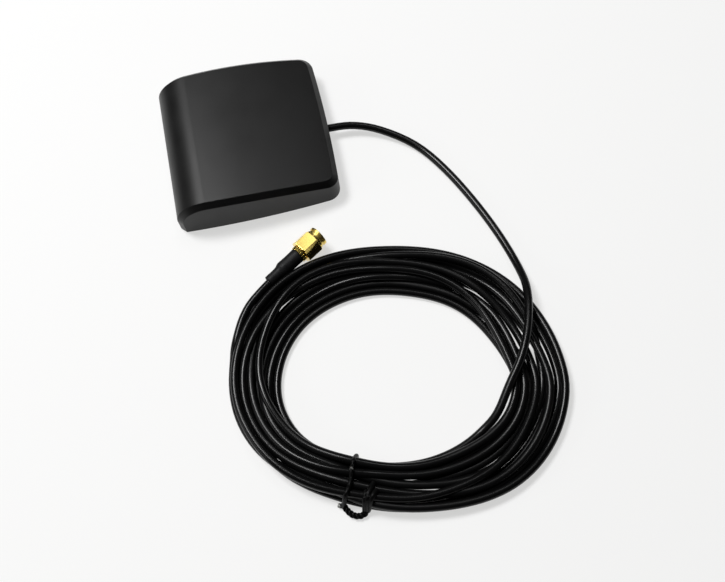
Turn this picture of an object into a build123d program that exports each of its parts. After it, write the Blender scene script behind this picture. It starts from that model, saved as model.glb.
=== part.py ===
from build123d import *
import math
import os

# GPS antenna: a low black housing with a thin coaxial cable, coiled and tied, and a gold threaded plug.
# Millimetres, +Z up, origin under the middle of the housing, the cable leaves the +X end.

# Housing outline seen from above
body_length = 59.9
body_width = 59.0
end_bulge = 0.9
side_bulge = 1.1
cable_corner_radius = 5.0

# Housing seen from the side: the roof is highest behind the rounded nose and falls towards the cable
nose_wall_height = 5.4
nose_length = 11.9
crest_height = 15.6
roof_end_height = 10.1
edge_chamfer = 1.9

# Moulded walls
side_wall = 2.0
roof_wall = 1.9
rebate_wall = 1.2
rim_lift = 0.3
plate_clearance = 0.1

# Base plate, seal and screws
plate_thickness = 1.6
seal_thickness = 0.4
seal_width = 1.5
boss_diameter = 5.0
boss_inset_x = 7.15
boss_inset_y = 7.5
screw_diameter = 2.0
screw_length = 6.0
screw_play = 0.1
screw_head_diameter = 3.8
screw_head_height = 0.7
screw_head_recess = 0.8
screw_driver_width = 1.0
screw_driver_depth = 0.4

# Magnets, one on each side of the amplifier
magnet_side_gap = 6.0
magnet_middle_gap = 19.0
magnet_thickness = 3.0
magnet_pocket_depth = 0.8
magnet_play = 0.1

# Circuit board
board_end_gap = 9.95
board_side_gap = 12.5
board_thickness = 1.0
board_x = -2.0
post_diameter = 3.2
post_inset = 2.5
stake_diameter = 1.4
stake_head_height = 0.4
stake_play = 0.05

# Patch antenna on the board
patch_end_room = 15.0
patch_side_room = 9.0
patch_headroom = 5.15
patch_shift = 5.5
pad_inset = 0.5
pad_thickness = 0.2
electrode_inset = 2.0
electrode_thickness = 0.1
electrode_cut = 2.0
feed_offset = 2.6
feed_diameter = 0.9
feed_play = 0.05
feed_head_diameter = 2.2
feed_head_height = 0.3
feed_tail = 0.5

# Shielded amplifier under the board
can_length = 14.0
can_width = 13.0
can_height = 2.2
can_wall = 0.3
can_shift = 4.0
amplifier_size = 3.0
amplifier_height = 0.9
filter_length = 4.0
filter_width = 5.0
filter_height = 1.2
passive_length = 1.6
passive_width = 0.8
passive_height = 0.5
passive_spacing_x = 2.4
passive_spacing_y = 1.6

# Coaxial cable
cable_diameter = 2.8
braid_diameter = 2.0
dielectric_diameter = 1.5
core_diameter = 0.5
exit_y = -0.8
exit_straight = 5.55
jacket_inside = 7.95
braid_on_board = 3.0
dielectric_strip = 2.4
core_strip = 1.0
core_rise = 0.3
braid_solder_width = 3.2
braid_solder_slope = 20
core_solder_diameter = 1.5
core_solder_slope = 45
pin_solder_diameter = 1.8
pin_solder_slope = 30
grommet_wall = 0.5
grommet_flange = 0.35
grommet_flange_thickness = 0.8
grommet_play = 0.02

# Coil of cable, and how large the arcs of the loose cable are
coil_height = 6.0
coil_rounding = 2.0
arc_share = 0.45

# Plug: distances along its axis start at the back of the hexagon
plug_back = (10.8, -48.7)
plug_angle = 33.2
plug_axis_height = 4.65
hexagon_width = 8.0
hexagon_sides = 6
hexagon_length = 6.1
hexagon_chamfer = 0.35
collar_diameter = 7.3
collar_length = 2.7
groove_width = 0.5
groove_depth = 0.35
nut_floor = 2.4
nut_bore_diameter = 6.1
nut_play = 0.08
neck_diameter = 4.9
nose_diameter = 4.6
nose_bore_diameter = 4.1
nose_front = 5.9
nose_step = 4.0
shoulder_diameter = 6.2
shoulder_length = 1.3
shoulder_ribs = 16
shoulder_rib_depth = 0.25
shoulder_gap = 0.2
barrel_diameter = 3.0
barrel_bore_diameter = 1.6
barrel_length = 6.6
ring_thickness = 0.6
ring_depth = 0.35
ring_outer_diameter = 5.8
ring_gap = 1.2
gasket_thickness = 0.7
gasket_outer_diameter = 5.9
insulator_back = 0.6
pin_diameter = 0.91
pin_root_diameter = 1.27
pin_reach = 2.0
pin_tail = 0.6
pin_cup_depth = 0.9
pin_chamfer = 0.15
ferrule_diameter = 4.8
ferrule_overlap = 1.1
shrink_wall = 0.35
shrink_wide_length = 8.4
shrink_step_length = 0.6
shrink_narrow_diameter = 4.2
shrink_narrow_length = 4.9
shrink_play = 0.05

# Wire tie round the coil
tie_diameter = 1.4
tie_play = 0.1
tie_corner_radius = 1.4
tie_rope_diameter = 2.4
tie_inner = (14.9, -122.1)
tie_outer = (7.9, -137.6)
tie_notch_width = 2.4

# Heights that follow from the sizes above
plate_edge = rebate_wall + plate_clearance
ledge_z = plate_thickness + seal_thickness
exit_z = ledge_z + grommet_wall + cable_diameter / 2 + grommet_flange
board_bottom = exit_z + braid_diameter / 2
board_top = board_bottom + board_thickness
patch_bottom = board_top + pad_thickness
patch_top = crest_height - patch_headroom
electrode_top = patch_top + electrode_thickness

# Places and sizes in the housing that follow from its length and width
boss_spacing_x = body_length - 2 * boss_inset_x
boss_spacing_y = body_width - 2 * boss_inset_y
magnet_diameter = (body_width - magnet_middle_gap) / 2 - magnet_side_gap
magnet_spacing = magnet_middle_gap + magnet_diameter
board_length = body_length - 2 * board_end_gap
board_width = body_width - 2 * board_side_gap
patch_length = board_length - patch_end_room
patch_width = board_width - patch_side_room
patch_x = board_x - patch_shift
can_x = board_x - can_shift
braid_start_x = board_x + board_length / 2 - braid_on_board
dielectric_start_x = braid_start_x - dielectric_strip
core_start_x = dielectric_start_x - core_strip

# Outline of the housing
end_x = body_length / 2
jacket_start_x = end_x - jacket_inside
crest_x = nose_length - end_x
half_side = end_x - end_bulge / 2
half_end = body_width / 2 - side_bulge
side_arc_radius = (half_side**2 + side_bulge**2) / (2 * side_bulge)
end_arc_radius = (half_end**2 + end_bulge**2) / (2 * end_bulge)

# Places along the axis of the plug
nut_front = hexagon_length + collar_length
pin_tip = nose_front + pin_reach
shoulder_back = -shoulder_gap - shoulder_length
barrel_back = shoulder_back - barrel_length
ferrule_back = barrel_back - ferrule_overlap
wide_back = shoulder_back - shrink_wide_length
narrow_front = wide_back - shrink_step_length
narrow_back = narrow_front - shrink_narrow_length
pin_back = -pin_tail
tail_core_front = pin_back + pin_cup_depth

plug_direction = Vector(1, 0, 0).rotate(Axis.Z, plug_angle)
plug_origin = Vector(*plug_back, plug_axis_height)
plug_axis = Axis(plug_origin, plug_direction)
plug_side = Plane(plug_origin, x_dir=plug_direction, z_dir=plug_direction.cross(Vector(0, 0, 1)))
plug_end = Plane(plug_origin, x_dir=(0, 0, 1), z_dir=plug_direction)

# Route of the loose cable: from inside the housing to the top of the coil
table_z = cable_diameter / 2
on_coil_z = coil_height + cable_diameter / 2
lead_route = [
    (jacket_start_x, exit_y, exit_z),
    (end_x + exit_straight, exit_y, exit_z),
    (48.8, -5.4, 3.2),
    (60.2, -14.0, 1.5),
    (67.8, -26.4, table_z),
    (74.4, -41.6, table_z),
    (79.8, -57.6, table_z),
    (83.2, -72.8, 2.0),
    (82.6, -82.5, 6.2),
    (78.6, -95.2, on_coil_z),
    (73.4, -105.2, on_coil_z),
    (67.0, -112.6, 6.0),
    (61.6, -120.6, 4.2),
]

# Route of the cable from the plug back to the rim of the coil
tail_route = [
    tuple(plug_origin + plug_direction * barrel_back),
    (-5.7, -59.5, plug_axis_height),
    (-13.2, -67.6, 4.4),
    (-17.8, -78.0, 4.2),
]

coil_rim = [
    (87.6, -105.0),
    (82.5, -80.5),
    (66.3, -62.5),
    (44.0, -52.6),
    (22.0, -51.9),
    (4.0, -58.2),
    (-14.8, -70.0),
    (-22.0, -90.0),
    (-16.5, -114.0),
    (-2.0, -129.6),
    (16.0, -139.8),
    (38.0, -146.4),
    (62.6, -143.6),
    (81.0, -127.0),
]
coil_eye = [
    (67.6, -109.3),
    (64.3, -90.4),
    (52.8, -77.5),
    (38.9, -70.7),
    (22.9, -68.8),
    (5.6, -74.8),
    (-5.9, -91.7),
    (-1.3, -111.5),
    (12.6, -122.4),
    (25.9, -127.5),
    (39.8, -128.2),
    (54.7, -123.0),
]


def outline(inset, height, overhang=0):
    """Housing outline from above, moved in from the outer wall: bowed sides and end, flat or overhanging nose."""
    with BuildSketch(Plane.XY.offset(height)) as sketch:
        with Locations((-end_bulge / 2, body_width / 2 - side_arc_radius)):
            Circle(side_arc_radius - inset)
        with Locations((-end_bulge / 2, side_arc_radius - body_width / 2)):
            Circle(side_arc_radius - inset, mode=Mode.INTERSECT)
        with Locations((end_x - end_arc_radius, 0)):
            Circle(end_arc_radius - inset, mode=Mode.INTERSECT)
        with Locations((inset - overhang - end_x, 0)):
            Rectangle(2 * body_length, body_width, align=(Align.MIN, Align.CENTER), mode=Mode.INTERSECT)
        fillet(sketch.vertices().group_by(Axis.X)[-1], cable_corner_radius - inset)
    return sketch.sketch


def side_view(inset, foot):
    """Housing seen from the side: upright nose wall, rounded nose, roof as one long arc."""
    back = inset - end_x
    crest = crest_height - inset
    with BuildSketch(Plane.XZ.offset(-body_width)) as sketch:
        with BuildLine():
            Line((back, foot), (back, nose_wall_height))
            EllipticalCenterArc(
                (crest_x, nose_wall_height), crest_x - back, crest - nose_wall_height, 90, arc_size=90
            )
            roof = TangentArc((crest_x, crest), (end_x, roof_end_height - inset), tangent=(1, 0))
            Polyline(roof @ 1, (end_x, foot), (back, foot))
        make_face()
    return sketch.sketch


def half_section(points):
    """Half of a turned piece of the plug, as places along the axis and radii."""
    with BuildSketch(plug_side) as sketch:
        with BuildLine():
            Polyline(*points, close=True)
        make_face()
    return sketch.sketch


def arc_radii(route):
    """Radius at each corner of a cable route, as large as the two runs beside it allow."""
    radii = []
    for before, corner, after in zip(route, route[1:], route[2:]):
        run_in = Vector(*corner) - Vector(*before)
        run_out = Vector(*after) - Vector(*corner)
        half_turn = math.radians(run_in.get_angle(run_out) / 2)
        radii.append(arc_share * min(run_in.length, run_out.length) / math.tan(half_turn))
    return radii


def cable_tube(route, diameter):
    """Round cable along straight runs joined by tangent arcs."""
    with BuildPart() as tube:
        with BuildLine() as path:
            FilletPolyline(*route, radius=arc_radii(route))
        with BuildSketch(Plane(path.line @ 0, z_dir=path.line % 0)):
            Circle(diameter / 2)
        sweep()
    length = path.wires()[0].length
    share = tube.part.volume / (math.pi * diameter**2 / 4 * length)
    print("cable radii", [round(radius, 1) for radius in arc_radii(route)])
    print("cable length", round(length, 1), "volume share", round(share, 4))
    return tube.part


# Housing: a thin moulded cover with bevelled roof edges, four screw bosses and a rebate for the plate
with BuildPart() as cavity:
    extrude(outline(side_wall, ledge_z), amount=crest_height)
    extrude(side_view(roof_wall, ledge_z), amount=2 * body_width, mode=Mode.INTERSECT)

with BuildPart() as bosses:
    with BuildSketch(Plane.XY.offset(plate_thickness)):
        with GridLocations(boss_spacing_x, boss_spacing_y, 2, 2):
            Circle(boss_diameter / 2)
    extrude(amount=crest_height)
    extrude(side_view(roof_wall / 2, plate_thickness), amount=2 * body_width, mode=Mode.INTERSECT)

with BuildPart() as top_cover:
    extrude(outline(0, rim_lift, overhang=side_wall), amount=crest_height)
    extrude(side_view(0, rim_lift), amount=2 * body_width, mode=Mode.INTERSECT)
    roof_edges = top_cover.edges().filter_by(GeomType.BSPLINE)
    nose_corners = top_cover.edges().filter_by(Axis.Z).group_by(Axis.X)[0]
    chamfer(roof_edges + nose_corners, edge_chamfer)
    add(cavity.part, mode=Mode.SUBTRACT)
    extrude(outline(rebate_wall, rim_lift), amount=ledge_z - rim_lift, mode=Mode.SUBTRACT)
    add(bosses.part)
    with BuildSketch(Plane.XY.offset(plate_thickness)):
        with GridLocations(boss_spacing_x, boss_spacing_y, 2, 2):
            Circle(screw_diameter / 2)
    extrude(amount=screw_length, mode=Mode.SUBTRACT)
    with BuildSketch(Plane.YZ.offset(end_x)):
        with Locations((exit_y, exit_z)):
            Circle(cable_diameter / 2 + grommet_wall)
    extrude(amount=2 * side_wall, both=True, mode=Mode.SUBTRACT)
    top_cover.part.label = "top_cover"

# Base plate: magnet pockets, board posts with stakes, counterbored screw holes
post_x = board_length / 2 - post_inset
post_y = board_width / 2 - post_inset
with BuildPart() as base_plate:
    extrude(outline(plate_edge, 0), amount=plate_thickness)
    with BuildSketch(Plane.XY.offset(plate_thickness)):
        with Locations((board_x, magnet_spacing / 2), (board_x, -magnet_spacing / 2)):
            Circle(magnet_diameter / 2 + magnet_play)
    extrude(amount=-magnet_pocket_depth, mode=Mode.SUBTRACT)
    with BuildSketch(Plane.XY.offset(plate_thickness)):
        with Locations((board_x, 0)):
            with GridLocations(2 * post_x, 2 * post_y, 2, 2):
                Circle(post_diameter / 2)
    extrude(amount=board_bottom - plate_thickness)
    with BuildSketch(Plane.XY.offset(board_bottom)):
        with Locations((board_x, 0)):
            with GridLocations(2 * post_x, 2 * post_y, 2, 2):
                Circle(stake_diameter / 2)
    extrude(amount=board_thickness)
    with BuildSketch(Plane.XY.offset(board_top)):
        with Locations((board_x, 0)):
            with GridLocations(2 * post_x, 2 * post_y, 2, 2):
                Circle(stake_diameter / 2 + stake_head_height)
    extrude(amount=stake_head_height)
    with BuildSketch():
        with GridLocations(boss_spacing_x, boss_spacing_y, 2, 2):
            Circle(screw_diameter / 2 + screw_play)
    extrude(amount=plate_thickness, mode=Mode.SUBTRACT)
    with BuildSketch():
        with GridLocations(boss_spacing_x, boss_spacing_y, 2, 2):
            Circle(screw_head_diameter / 2 + screw_play)
    extrude(amount=screw_head_recess, mode=Mode.SUBTRACT)
    base_plate.part.label = "base_plate"

with BuildPart() as cover_seal:
    extrude(outline(plate_edge, plate_thickness), amount=seal_thickness)
    extrude(outline(plate_edge + seal_width, plate_thickness), amount=seal_thickness, mode=Mode.SUBTRACT)
    cover_seal.part.label = "cover_seal"

with BuildPart() as base_screws:
    with BuildSketch(Plane.XY.offset(screw_head_recess)):
        with GridLocations(boss_spacing_x, boss_spacing_y, 2, 2):
            Circle(screw_head_diameter / 2)
    extrude(amount=-screw_head_height)
    with BuildSketch(Plane.XY.offset(screw_head_recess)):
        with GridLocations(boss_spacing_x, boss_spacing_y, 2, 2):
            Circle(screw_diameter / 2)
    extrude(amount=screw_length - screw_head_recess)
    with BuildSketch(Plane.XY.offset(screw_head_recess - screw_head_height)):
        with GridLocations(boss_spacing_x, boss_spacing_y, 2, 2):
            RegularPolygon(screw_driver_width, hexagon_sides)
    extrude(amount=screw_driver_depth, mode=Mode.SUBTRACT)
    base_screws.part.label = "base_screws"

magnets = []
for magnet_name, side in (("magnet_far", 1), ("magnet_near", -1)):
    with BuildPart() as magnet:
        with BuildSketch(Plane.XY.offset(plate_thickness - magnet_pocket_depth)):
            with Locations((board_x, side * magnet_spacing / 2)):
                Circle(magnet_diameter / 2)
        extrude(amount=magnet_thickness)
        magnet.part.label = magnet_name
    magnets.append(magnet.part)

# Circuit board with the patch antenna on top
feed_x = patch_x + feed_offset
feed_hole = feed_diameter / 2 + feed_play
with BuildPart() as circuit_board:
    with BuildSketch(Plane.XY.offset(board_bottom)):
        with Locations((board_x, 0)):
            Rectangle(board_length, board_width)
            with GridLocations(2 * post_x, 2 * post_y, 2, 2):
                Circle(stake_diameter / 2 + stake_play, mode=Mode.SUBTRACT)
        with Locations((feed_x, 0)):
            Circle(feed_hole, mode=Mode.SUBTRACT)
        with Locations((core_start_x, exit_y)):
            Circle(core_diameter / 2 + feed_play, mode=Mode.SUBTRACT)
    extrude(amount=board_thickness)
    circuit_board.part.label = "circuit_board"

with BuildPart() as patch_pad:
    with BuildSketch(Plane.XY.offset(board_top)):
        with Locations((patch_x, 0)):
            Rectangle(patch_length - 2 * pad_inset, patch_width - 2 * pad_inset)
        with Locations((feed_x, 0)):
            Circle(feed_hole, mode=Mode.SUBTRACT)
    extrude(amount=pad_thickness)
    patch_pad.part.label = "patch_pad"

with BuildPart() as patch_ceramic:
    with BuildSketch(Plane.XY.offset(patch_bottom)):
        with Locations((patch_x, 0)):
            Rectangle(patch_length, patch_width)
        with Locations((feed_x, 0)):
            Circle(feed_hole, mode=Mode.SUBTRACT)
    extrude(amount=patch_top - patch_bottom)
    patch_ceramic.part.label = "patch_ceramic"

with BuildPart() as patch_electrode:
    with BuildSketch(Plane.XY.offset(patch_top)) as electrode:
        with Locations((patch_x, 0)):
            Rectangle(patch_length - 2 * electrode_inset, patch_width - 2 * electrode_inset)
        trimmed = electrode.vertices().sort_by(Axis((0, 0, 0), (1, 1, 0)))
        chamfer([trimmed[0], trimmed[-1]], electrode_cut)
        with Locations((feed_x, 0)):
            Circle(feed_hole, mode=Mode.SUBTRACT)
    extrude(amount=electrode_thickness)
    patch_electrode.part.label = "patch_electrode"

with BuildPart() as feed_pin:
    with BuildSketch(Plane.XY.offset(board_bottom - feed_tail)):
        with Locations((feed_x, 0)):
            Circle(feed_diameter / 2)
    extrude(amount=electrode_top - board_bottom + feed_tail)
    with BuildSketch(Plane.XY.offset(electrode_top)):
        with Locations((feed_x, 0)):
            Circle(feed_head_diameter / 2)
    extrude(amount=feed_head_height)
    feed_pin.part.label = "feed_pin"

# Amplifier under the board inside its shield
with BuildPart() as shield_can:
    with BuildSketch(Plane.XY.offset(board_bottom)):
        with Locations((can_x, 0)):
            Rectangle(can_length, can_width)
    extrude(amount=-can_height)
    with BuildSketch(Plane.XY.offset(board_bottom)):
        with Locations((can_x, 0)):
            Rectangle(can_length - 2 * can_wall, can_width - 2 * can_wall)
    extrude(amount=can_wall - can_height, mode=Mode.SUBTRACT)
    shield_can.part.label = "shield_can"

can_quarter_x = can_length / 4
can_quarter_y = can_width / 4
with BuildPart() as amplifier_chip:
    with BuildSketch(Plane.XY.offset(board_bottom)):
        with Locations((can_x + can_quarter_x, can_quarter_y)):
            Rectangle(amplifier_size, amplifier_size)
    extrude(amount=-amplifier_height)
    amplifier_chip.part.label = "amplifier_chip"

with BuildPart() as filter_chip:
    with BuildSketch(Plane.XY.offset(board_bottom)):
        with Locations((can_x - can_quarter_x, 0)):
            Rectangle(filter_length, filter_width)
    extrude(amount=-filter_height)
    filter_chip.part.label = "filter_chip"

with BuildPart() as passive_parts:
    with BuildSketch(Plane.XY.offset(board_bottom)):
        with Locations((can_x + can_quarter_x, -can_quarter_y)):
            with GridLocations(passive_spacing_x, passive_spacing_y, 2, 2):
                Rectangle(passive_length, passive_width)
    extrude(amount=-passive_height)
    passive_parts.part.label = "passive_parts"

# Cable end inside the housing: grommet, braid, dielectric and core
grommet_hole = Plane.YZ.offset(end_x - side_wall - grommet_play)
with BuildPart() as cable_grommet:
    with BuildSketch(grommet_hole):
        with Locations((exit_y, exit_z)):
            Circle(cable_diameter / 2 + grommet_wall)
    extrude(amount=side_wall + grommet_play)
    with BuildSketch(grommet_hole):
        with Locations((exit_y, exit_z)):
            Circle(cable_diameter / 2 + grommet_wall + grommet_flange)
    extrude(amount=-grommet_flange_thickness)
    with BuildSketch(grommet_hole.offset(-grommet_flange_thickness)):
        with Locations((exit_y, exit_z)):
            Circle(cable_diameter / 2)
    extrude(amount=side_wall + grommet_play + grommet_flange_thickness, mode=Mode.SUBTRACT)
    cable_grommet.part.label = "cable_grommet"

with BuildPart() as coax_braid:
    with BuildSketch(Plane.YZ.offset(braid_start_x)):
        with Locations((exit_y, exit_z)):
            Circle(braid_diameter / 2)
    extrude(amount=jacket_start_x - braid_start_x)
    coax_braid.part.label = "coax_braid"

with BuildPart() as coax_dielectric:
    with BuildSketch(Plane.YZ.offset(dielectric_start_x)):
        with Locations((exit_y, exit_z)):
            Circle(dielectric_diameter / 2)
    extrude(amount=braid_start_x - dielectric_start_x)
    coax_dielectric.part.label = "coax_dielectric"

with BuildPart() as coax_core:
    with BuildLine() as core_path:
        FilletPolyline(
            (dielectric_start_x, exit_y, exit_z),
            (core_start_x, exit_y, exit_z),
            (core_start_x, exit_y, board_top + core_rise),
            radius=core_diameter,
        )
    with BuildSketch(Plane(core_path.line @ 0, z_dir=core_path.line % 0)):
        Circle(core_diameter / 2)
    sweep()
    coax_core.part.label = "coax_core"

# Solder: a bead between braid and board, a cone round the core, a cone under the feed pin
with BuildPart() as solder_joints:
    with BuildSketch(Plane.XY.offset(board_bottom)):
        with Locations((braid_start_x + braid_diameter, exit_y)):
            Rectangle(braid_diameter, braid_solder_width)
    extrude(amount=-braid_diameter / 2, taper=braid_solder_slope)
    add(coax_braid.part, mode=Mode.SUBTRACT)
    with BuildSketch(Plane.XY.offset(board_top)):
        with Locations((core_start_x, exit_y)):
            Circle(core_solder_diameter / 2)
    extrude(amount=core_rise, taper=core_solder_slope)
    add(coax_core.part, mode=Mode.SUBTRACT)
    with BuildSketch(Plane.XY.offset(board_bottom)):
        with Locations((feed_x, 0)):
            Circle(pin_solder_diameter / 2)
    extrude(amount=-feed_tail, taper=pin_solder_slope)
    add(feed_pin.part, mode=Mode.SUBTRACT)
    solder_joints.part.label = "solder_joints"

# Plug: turned body with a ribbed shoulder, insulator, pin, snap ring and gasket
neck_radius = neck_diameter / 2
nose_radius = nose_diameter / 2
ring_back = nut_floor + shoulder_gap / 2
ring_groove_radius = neck_radius - ring_depth
with BuildPart() as connector_body:
    revolve(half_section([
        (barrel_back, barrel_bore_diameter / 2),
        (barrel_back, barrel_diameter / 2),
        (shoulder_back, barrel_diameter / 2),
        (shoulder_back, shoulder_diameter / 2),
        (-shoulder_gap, shoulder_diameter / 2),
        (-shoulder_gap, neck_radius),
        (ring_back, neck_radius),
        (ring_back, ring_groove_radius),
        (ring_back + ring_thickness, ring_groove_radius),
        (ring_back + ring_thickness, neck_radius),
        (nose_step, neck_radius),
        (nose_step, nose_radius),
        (nose_front, nose_radius),
        (nose_front, nose_bore_diameter / 2),
        (insulator_back, nose_bore_diameter / 2),
        (insulator_back, barrel_bore_diameter / 2),
    ]), axis=plug_axis)
    with BuildSketch(plug_end.offset(shoulder_back)):
        with PolarLocations(shoulder_diameter / 2, shoulder_ribs):
            Circle(shoulder_rib_depth)
    extrude(amount=shoulder_length, mode=Mode.SUBTRACT)
    connector_body.part.label = "connector_body"

with BuildPart() as connector_insulator:
    revolve(half_section([
        (insulator_back, pin_root_diameter / 2),
        (insulator_back, nose_bore_diameter / 2),
        (nose_front, nose_bore_diameter / 2),
        (nose_front, pin_root_diameter / 2),
    ]), axis=plug_axis)
    connector_insulator.part.label = "connector_insulator"

with BuildPart() as centre_pin:
    revolve(half_section([
        (pin_back, core_diameter / 2),
        (pin_back, pin_root_diameter / 2),
        (nose_front, pin_root_diameter / 2),
        (nose_front, pin_diameter / 2),
        (pin_tip - pin_chamfer, pin_diameter / 2),
        (pin_tip, pin_diameter / 2 - pin_chamfer),
        (pin_tip, 0),
        (tail_core_front, 0),
        (tail_core_front, core_diameter / 2),
    ]), axis=plug_axis)
    centre_pin.part.label = "centre_pin"

with BuildPart() as nut_retaining_ring:
    revolve(half_section([
        (ring_back, ring_groove_radius),
        (ring_back, ring_outer_diameter / 2),
        (ring_back + ring_thickness, ring_outer_diameter / 2),
        (ring_back + ring_thickness, ring_groove_radius),
    ]), axis=plug_axis)
    with BuildSketch(plug_end.offset(ring_back)):
        with Locations((ring_outer_diameter / 2, 0)):
            Rectangle(ring_outer_diameter / 2, ring_gap)
    extrude(amount=ring_thickness, mode=Mode.SUBTRACT)
    nut_retaining_ring.part.label = "nut_retaining_ring"

with BuildPart() as nut_gasket:
    revolve(half_section([
        (nose_step, nose_radius),
        (nose_step, gasket_outer_diameter / 2),
        (nose_step + gasket_thickness, gasket_outer_diameter / 2),
        (nose_step + gasket_thickness, nose_radius),
    ]), axis=plug_axis)
    nut_gasket.part.label = "nut_gasket"

# Coupling nut: hexagon with a flat on top, round grooved collar, floor behind the snap ring
hexagon_corner = hexagon_width / math.sqrt(3)
collar_radius = collar_diameter / 2
groove_middle = hexagon_length + collar_length / 2
with BuildPart() as coupling_nut:
    with BuildSketch(plug_end):
        RegularPolygon(hexagon_width / 2, hexagon_sides, major_radius=False, rotation=180 / hexagon_sides)
    extrude(amount=hexagon_length)
    revolve(half_section([
        (0, 0),
        (0, hexagon_corner - hexagon_chamfer),
        (hexagon_chamfer, hexagon_corner),
        (hexagon_length - hexagon_chamfer, hexagon_corner),
        (hexagon_length, hexagon_corner - hexagon_chamfer),
        (hexagon_length, 0),
    ]), axis=plug_axis, mode=Mode.INTERSECT)
    revolve(half_section([
        (hexagon_length, 0),
        (hexagon_length, collar_radius),
        (groove_middle - groove_width, collar_radius),
        (groove_middle - groove_width, collar_radius - groove_depth),
        (groove_middle + groove_width, collar_radius - groove_depth),
        (groove_middle + groove_width, collar_radius),
        (nut_front, collar_radius),
        (nut_front, 0),
    ]), axis=plug_axis)
    revolve(half_section([
        (0, 0),
        (0, neck_radius + nut_play),
        (nut_floor, neck_radius + nut_play),
        (nut_floor, nut_bore_diameter / 2),
        (nut_front, nut_bore_diameter / 2),
        (nut_front, 0),
    ]), axis=plug_axis, mode=Mode.SUBTRACT)
    coupling_nut.part.label = "coupling_nut"

# Cable end in the plug, crimp ferrule and heat-shrink sleeve
with BuildPart() as tail_dielectric:
    revolve(half_section([
        (barrel_back, core_diameter / 2),
        (barrel_back, dielectric_diameter / 2),
        (pin_back - shoulder_gap, dielectric_diameter / 2),
        (pin_back - shoulder_gap, core_diameter / 2),
    ]), axis=plug_axis)
    tail_dielectric.part.label = "tail_dielectric"

with BuildPart() as tail_core:
    with BuildSketch(plug_end.offset(barrel_back)):
        Circle(core_diameter / 2)
    extrude(amount=tail_core_front - barrel_back)
    tail_core.part.label = "tail_core"

with BuildPart() as crimp_ferrule:
    revolve(half_section([
        (ferrule_back, barrel_diameter / 2),
        (ferrule_back, ferrule_diameter / 2),
        (shoulder_back, ferrule_diameter / 2),
        (shoulder_back, barrel_diameter / 2),
    ]), axis=plug_axis)
    crimp_ferrule.part.label = "crimp_ferrule"

with BuildPart() as heat_shrink_sleeve:
    revolve(half_section([
        (shoulder_back, ferrule_diameter / 2),
        (shoulder_back, ferrule_diameter / 2 + shrink_wall),
        (wide_back, ferrule_diameter / 2 + shrink_wall),
        (narrow_front, shrink_narrow_diameter / 2),
        (narrow_back, shrink_narrow_diameter / 2),
        (narrow_back, cable_diameter / 2 + shrink_play),
        (narrow_front, cable_diameter / 2 + shrink_play),
        (wide_back, ferrule_diameter / 2),
    ]), axis=plug_axis)
    heat_shrink_sleeve.part.label = "heat_shrink_sleeve"

# Loose cable, coil and wire tie
cable_lead = cable_tube(lead_route, cable_diameter)
cable_lead.label = "cable_lead"
cable_tail = cable_tube(tail_route, cable_diameter)
cable_tail.label = "cable_tail"

tie_start = Vector(*tie_inner, 0)
tie_end = Vector(*tie_outer, 0)
tie_reach = (tie_end - tie_start).length
tie_across = (tie_end - tie_start).normalized()
tie_radius = tie_diameter / 2
tie_top = coil_height + tie_play + tie_radius
tie_plane = Plane(tie_start, x_dir=tie_across, z_dir=tie_across.cross(Vector(0, 0, 1)))
with BuildPart() as cable_coil:
    with BuildSketch():
        with BuildLine():
            Spline(*coil_rim, periodic=True)
        make_face()
        with BuildLine():
            Spline(*coil_eye, periodic=True)
        make_face(mode=Mode.SUBTRACT)
    extrude(amount=coil_height)
    fillet(cable_coil.edges().group_by(Axis.Z)[-1], coil_rounding)
    with BuildSketch(Plane(tie_start, x_dir=tie_across, z_dir=(0, 0, 1))):
        with Locations((tie_reach / 2, 0)):
            Rectangle(2 * tie_reach, tie_notch_width)
    extrude(amount=tie_diameter + tie_play, mode=Mode.SUBTRACT)
    cable_coil.part.label = "cable_coil"

tie_rope = [
    (*tie_outer, tie_rope_diameter / 2),
    (8.6, -140.5, tie_rope_diameter / 2),
    (11.3, -142.3, tie_rope_diameter / 2),
    (14.3, -141.0, tie_rope_diameter / 2),
]
with BuildPart() as twist_tie:
    with BuildLine(tie_plane) as loop:
        FilletPolyline(
            (0, tie_radius),
            (tie_reach, tie_radius),
            (tie_reach, tie_top),
            (0, tie_top),
            radius=tie_corner_radius,
            close=True,
        )
    with BuildSketch(Plane(loop.line @ 0, z_dir=loop.line % 0)):
        Circle(tie_radius)
    sweep()
    add(cable_tube(tie_rope, tie_rope_diameter))
    twist_tie.part.label = "twist_tie"

pieces = [
    top_cover.part,
    base_plate.part,
    cover_seal.part,
    base_screws.part,
    *magnets,
    circuit_board.part,
    patch_pad.part,
    patch_ceramic.part,
    patch_electrode.part,
    feed_pin.part,
    shield_can.part,
    amplifier_chip.part,
    filter_chip.part,
    passive_parts.part,
    solder_joints.part,
    cable_grommet.part,
    coax_braid.part,
    coax_dielectric.part,
    coax_core.part,
    cable_lead,
    cable_coil.part,
    cable_tail,
    twist_tie.part,
    heat_shrink_sleeve.part,
    crimp_ferrule.part,
    connector_body.part,
    connector_insulator.part,
    centre_pin.part,
    tail_dielectric.part,
    tail_core.part,
    nut_retaining_ring.part,
    nut_gasket.part,
    coupling_nut.part,
]
os.makedirs("parts", exist_ok=True)
for piece in pieces:
    export_step(piece, f"parts/{piece.label}.step")
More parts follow.
